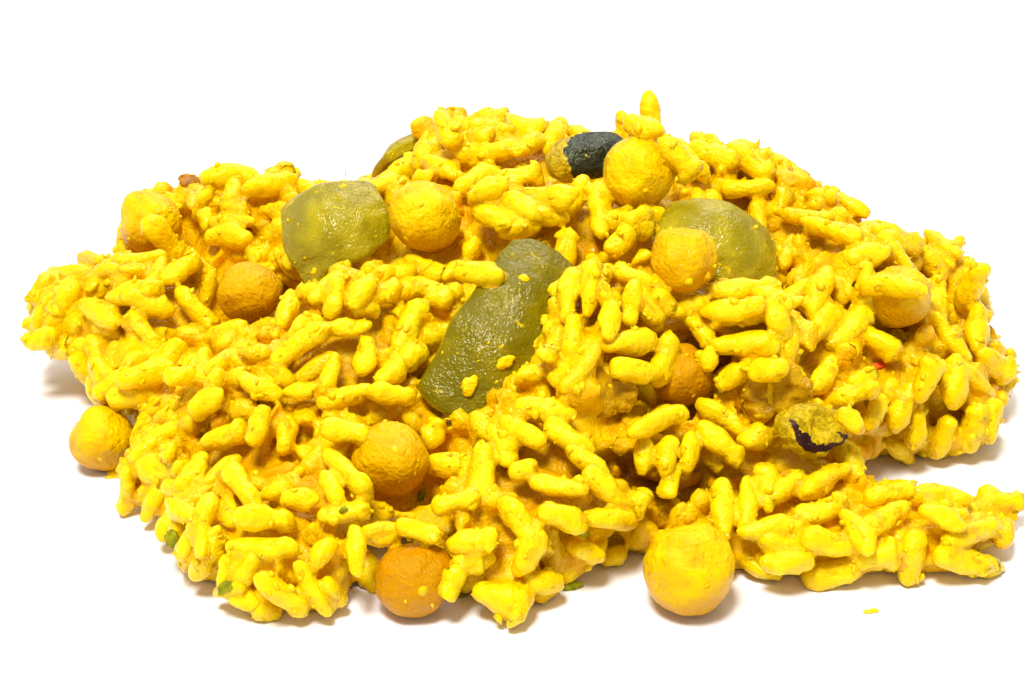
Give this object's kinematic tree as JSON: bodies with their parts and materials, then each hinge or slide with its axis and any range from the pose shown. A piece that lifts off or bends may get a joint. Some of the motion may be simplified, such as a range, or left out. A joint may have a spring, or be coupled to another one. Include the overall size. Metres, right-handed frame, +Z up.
{
  "type": "heap of curry rice with chickpeas",
  "caption": "Uneven heap of yellow curry rice with chickpeas, strips of green pepper, chunks of aubergine and bits of onion, to serve on a plate, in a pan or on a board",
  "frame": {"origin": "centre of the bottom of the heap's box, on the surface it lies on", "axes": "+Z up, +X to the right along the long side as the picture shows it, +Y away from the picture's camera"},
  "size_m": [0.163, 0.1272, 0.0442],
  "materials": {
    "rice": "satin",
    "chickpea": "satin",
    "green_pepper": "gloss",
    "aubergine": "gloss",
    "onion": "gloss"
  },
  "bodies": {
    "root": {"rice_heap": "rice", "chickpea_top_left": "chickpea", "chickpea_top": "chickpea", "chickpea_centre": "chickpea", "chickpea_front": "chickpea", "chickpea_front_left": "chickpea", "chickpea_hollow": "chickpea", "chickpea_left_edge": "chickpea", "chickpea_left_shadow": "chickpea", "chickpea_left_back": "chickpea", "chickpea_gap": "chickpea", "chickpea_right": "chickpea", "chickpea_back": "chickpea", "chickpea_back_left": "chickpea", "chickpea_back_right": "chickpea", "chickpea_back_floor": "chickpea", "green_pepper_left": "green_pepper", "green_pepper_middle": "green_pepper", "green_pepper_right": "green_pepper", "green_pepper_back": "green_pepper", "aubergine_top": "aubergine", "aubergine_front": "aubergine", "aubergine_back": "aubergine", "onion_front": "onion", "onion_middle": "onion"}
  },
  "joints": []
}
